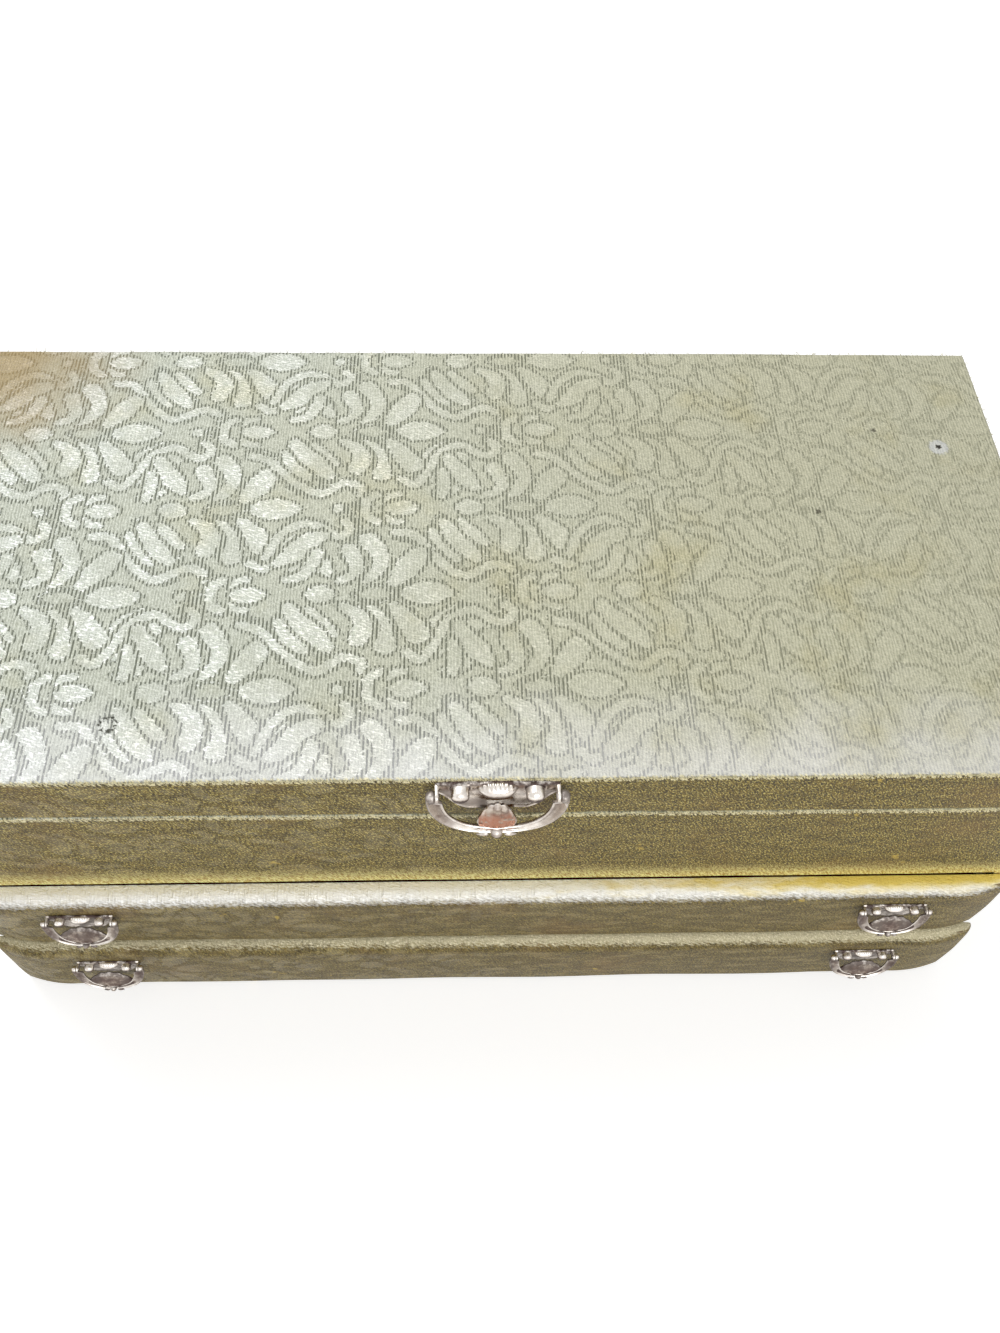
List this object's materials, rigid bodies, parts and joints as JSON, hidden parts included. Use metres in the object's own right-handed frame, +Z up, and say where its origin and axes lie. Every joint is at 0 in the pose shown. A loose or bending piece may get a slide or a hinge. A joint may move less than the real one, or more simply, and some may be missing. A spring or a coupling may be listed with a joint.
{
  "type": "brocade jewellery box",
  "caption": "Flip-top brocade-covered jewellery box with a shallow mirrored tray over full-width padded drawers with bail pulls.",
  "frame": {"origin": "middle of the case's footprint, on the surface it stands on", "axes": "+Z up, the front with the drawers faces -Y, +X to the right seen from the front"},
  "size_m": [0.3, 0.1662, 0.1258],
  "materials": {
    "brocade": "gold lame brocade, woven pattern",
    "chipboard": "bare board",
    "gilt_paper": "dull gold paper",
    "velvet": "short-pile velvet",
    "brass": "lacquered brass",
    "mirror_glass": "silvered glass",
    "gold_braid": "woven metallic braid",
    "pull_metal": "tarnished nickel plating"
  },
  "bodies": {
    "case": {"case_side_left": "chipboard", "case_side_right": "chipboard", "case_back": "chipboard", "case_bottom": "chipboard", "drawer_shelf": "chipboard", "tray_deck": "chipboard", "tray_front_wall": "chipboard", "case_cover": "brocade", "base_paper": "gilt_paper", "tray_wall_lining": "velvet", "tray_pad": "velvet", "hinge_case_leaf_left": "brass", "hinge_case_leaf_right": "brass", "hinge_pin_left": "brass", "hinge_pin_right": "brass", "hinge_case_screws": "brass", "stay_stud": "brass"},
    "lid": {"lid_panel": "chipboard", "lid_rim_front": "chipboard", "lid_rim_back": "chipboard", "lid_rim_left": "chipboard", "lid_rim_right": "chipboard", "lid_cover": "brocade", "lid_lining": "velvet", "lid_mirror": "mirror_glass", "mirror_braid": "gold_braid", "hinge_lid_leaf_left": "brass", "hinge_lid_leaf_right": "brass", "hinge_lid_screws": "brass", "stay_bracket": "brass", "lid_pull_plate": "pull_metal", "lid_pull_posts": "pull_metal"},
    "lid_bail": {"lid_bail": "pull_metal"},
    "stay_arm": {"stay_arm": "brass"},
    "upper_drawer": {"upper_front_board": "chipboard", "upper_front_cover": "brocade", "upper_side_left": "gilt_paper", "upper_side_right": "gilt_paper", "upper_back": "gilt_paper", "upper_floor": "gilt_paper", "upper_lining": "velvet", "upper_pull_plate_left": "pull_metal", "upper_pull_plate_right": "pull_metal", "upper_pull_posts": "pull_metal"},
    "upper_bail_left": {"upper_bail_left": "pull_metal"},
    "upper_bail_right": {"upper_bail_right": "pull_metal"},
    "lower_drawer": {"lower_front_board": "chipboard", "lower_front_cover": "brocade", "lower_side_left": "gilt_paper", "lower_side_right": "gilt_paper", "lower_back": "gilt_paper", "lower_floor": "gilt_paper", "lower_lining": "velvet", "lower_pull_plate_left": "pull_metal", "lower_pull_plate_right": "pull_metal", "lower_pull_posts": "pull_metal"},
    "lower_bail_left": {"lower_bail_left": "pull_metal"},
    "lower_bail_right": {"lower_bail_right": "pull_metal"}
  },
  "joints": [
    {"name": "lid_hinge", "type": "hinge", "parent": "case", "child": "lid", "pos_m": [0, 0.0758, 0.10645], "axis": [-1, 0, 0], "range_deg": [0, 95]},
    {"name": "stay_pivot", "type": "hinge", "parent": "lid", "child": "stay_arm", "pos_m": [-0.142, 0.0538, 0.11595], "axis": [1, 0, 0], "range_deg": [0, 47.5]},
    {"name": "lid_bail_swing", "type": "hinge", "parent": "lid", "child": "lid_bail", "pos_m": [0, -0.077, 0.1226], "axis": [-1, 0, 0], "range_deg": [0, 95]},
    {"name": "upper_slide", "type": "slide", "parent": "case", "child": "upper_drawer", "axis": [0, -1, 0], "range_m": [0, 0.105]},
    {"name": "upper_bail_left_swing", "type": "hinge", "parent": "upper_drawer", "child": "upper_bail_left", "pos_m": [-0.1173, -0.08216, 0.0548], "axis": [-1, 0, 0], "range_deg": [0, 95]},
    {"name": "upper_bail_right_swing", "type": "hinge", "parent": "upper_drawer", "child": "upper_bail_right", "pos_m": [0.1173, -0.08216, 0.0548], "axis": [-1, 0, 0], "range_deg": [0, 95]},
    {"name": "lower_slide", "type": "slide", "parent": "case", "child": "lower_drawer", "axis": [0, -1, 0], "range_m": [-0.003, 0.105]},
    {"name": "lower_bail_left_swing", "type": "hinge", "parent": "lower_drawer", "child": "lower_bail_left", "pos_m": [-0.1173, -0.08516, 0.0233], "axis": [-1, 0, 0], "range_deg": [0, 95]},
    {"name": "lower_bail_right_swing", "type": "hinge", "parent": "lower_drawer", "child": "lower_bail_right", "pos_m": [0.1173, -0.08516, 0.0233], "axis": [-1, 0, 0], "range_deg": [0, 95]}
  ],
  "couplings": [
    {"joint": "stay_pivot", "follows": "lid_hinge", "ratio": 0.5}
  ]
}
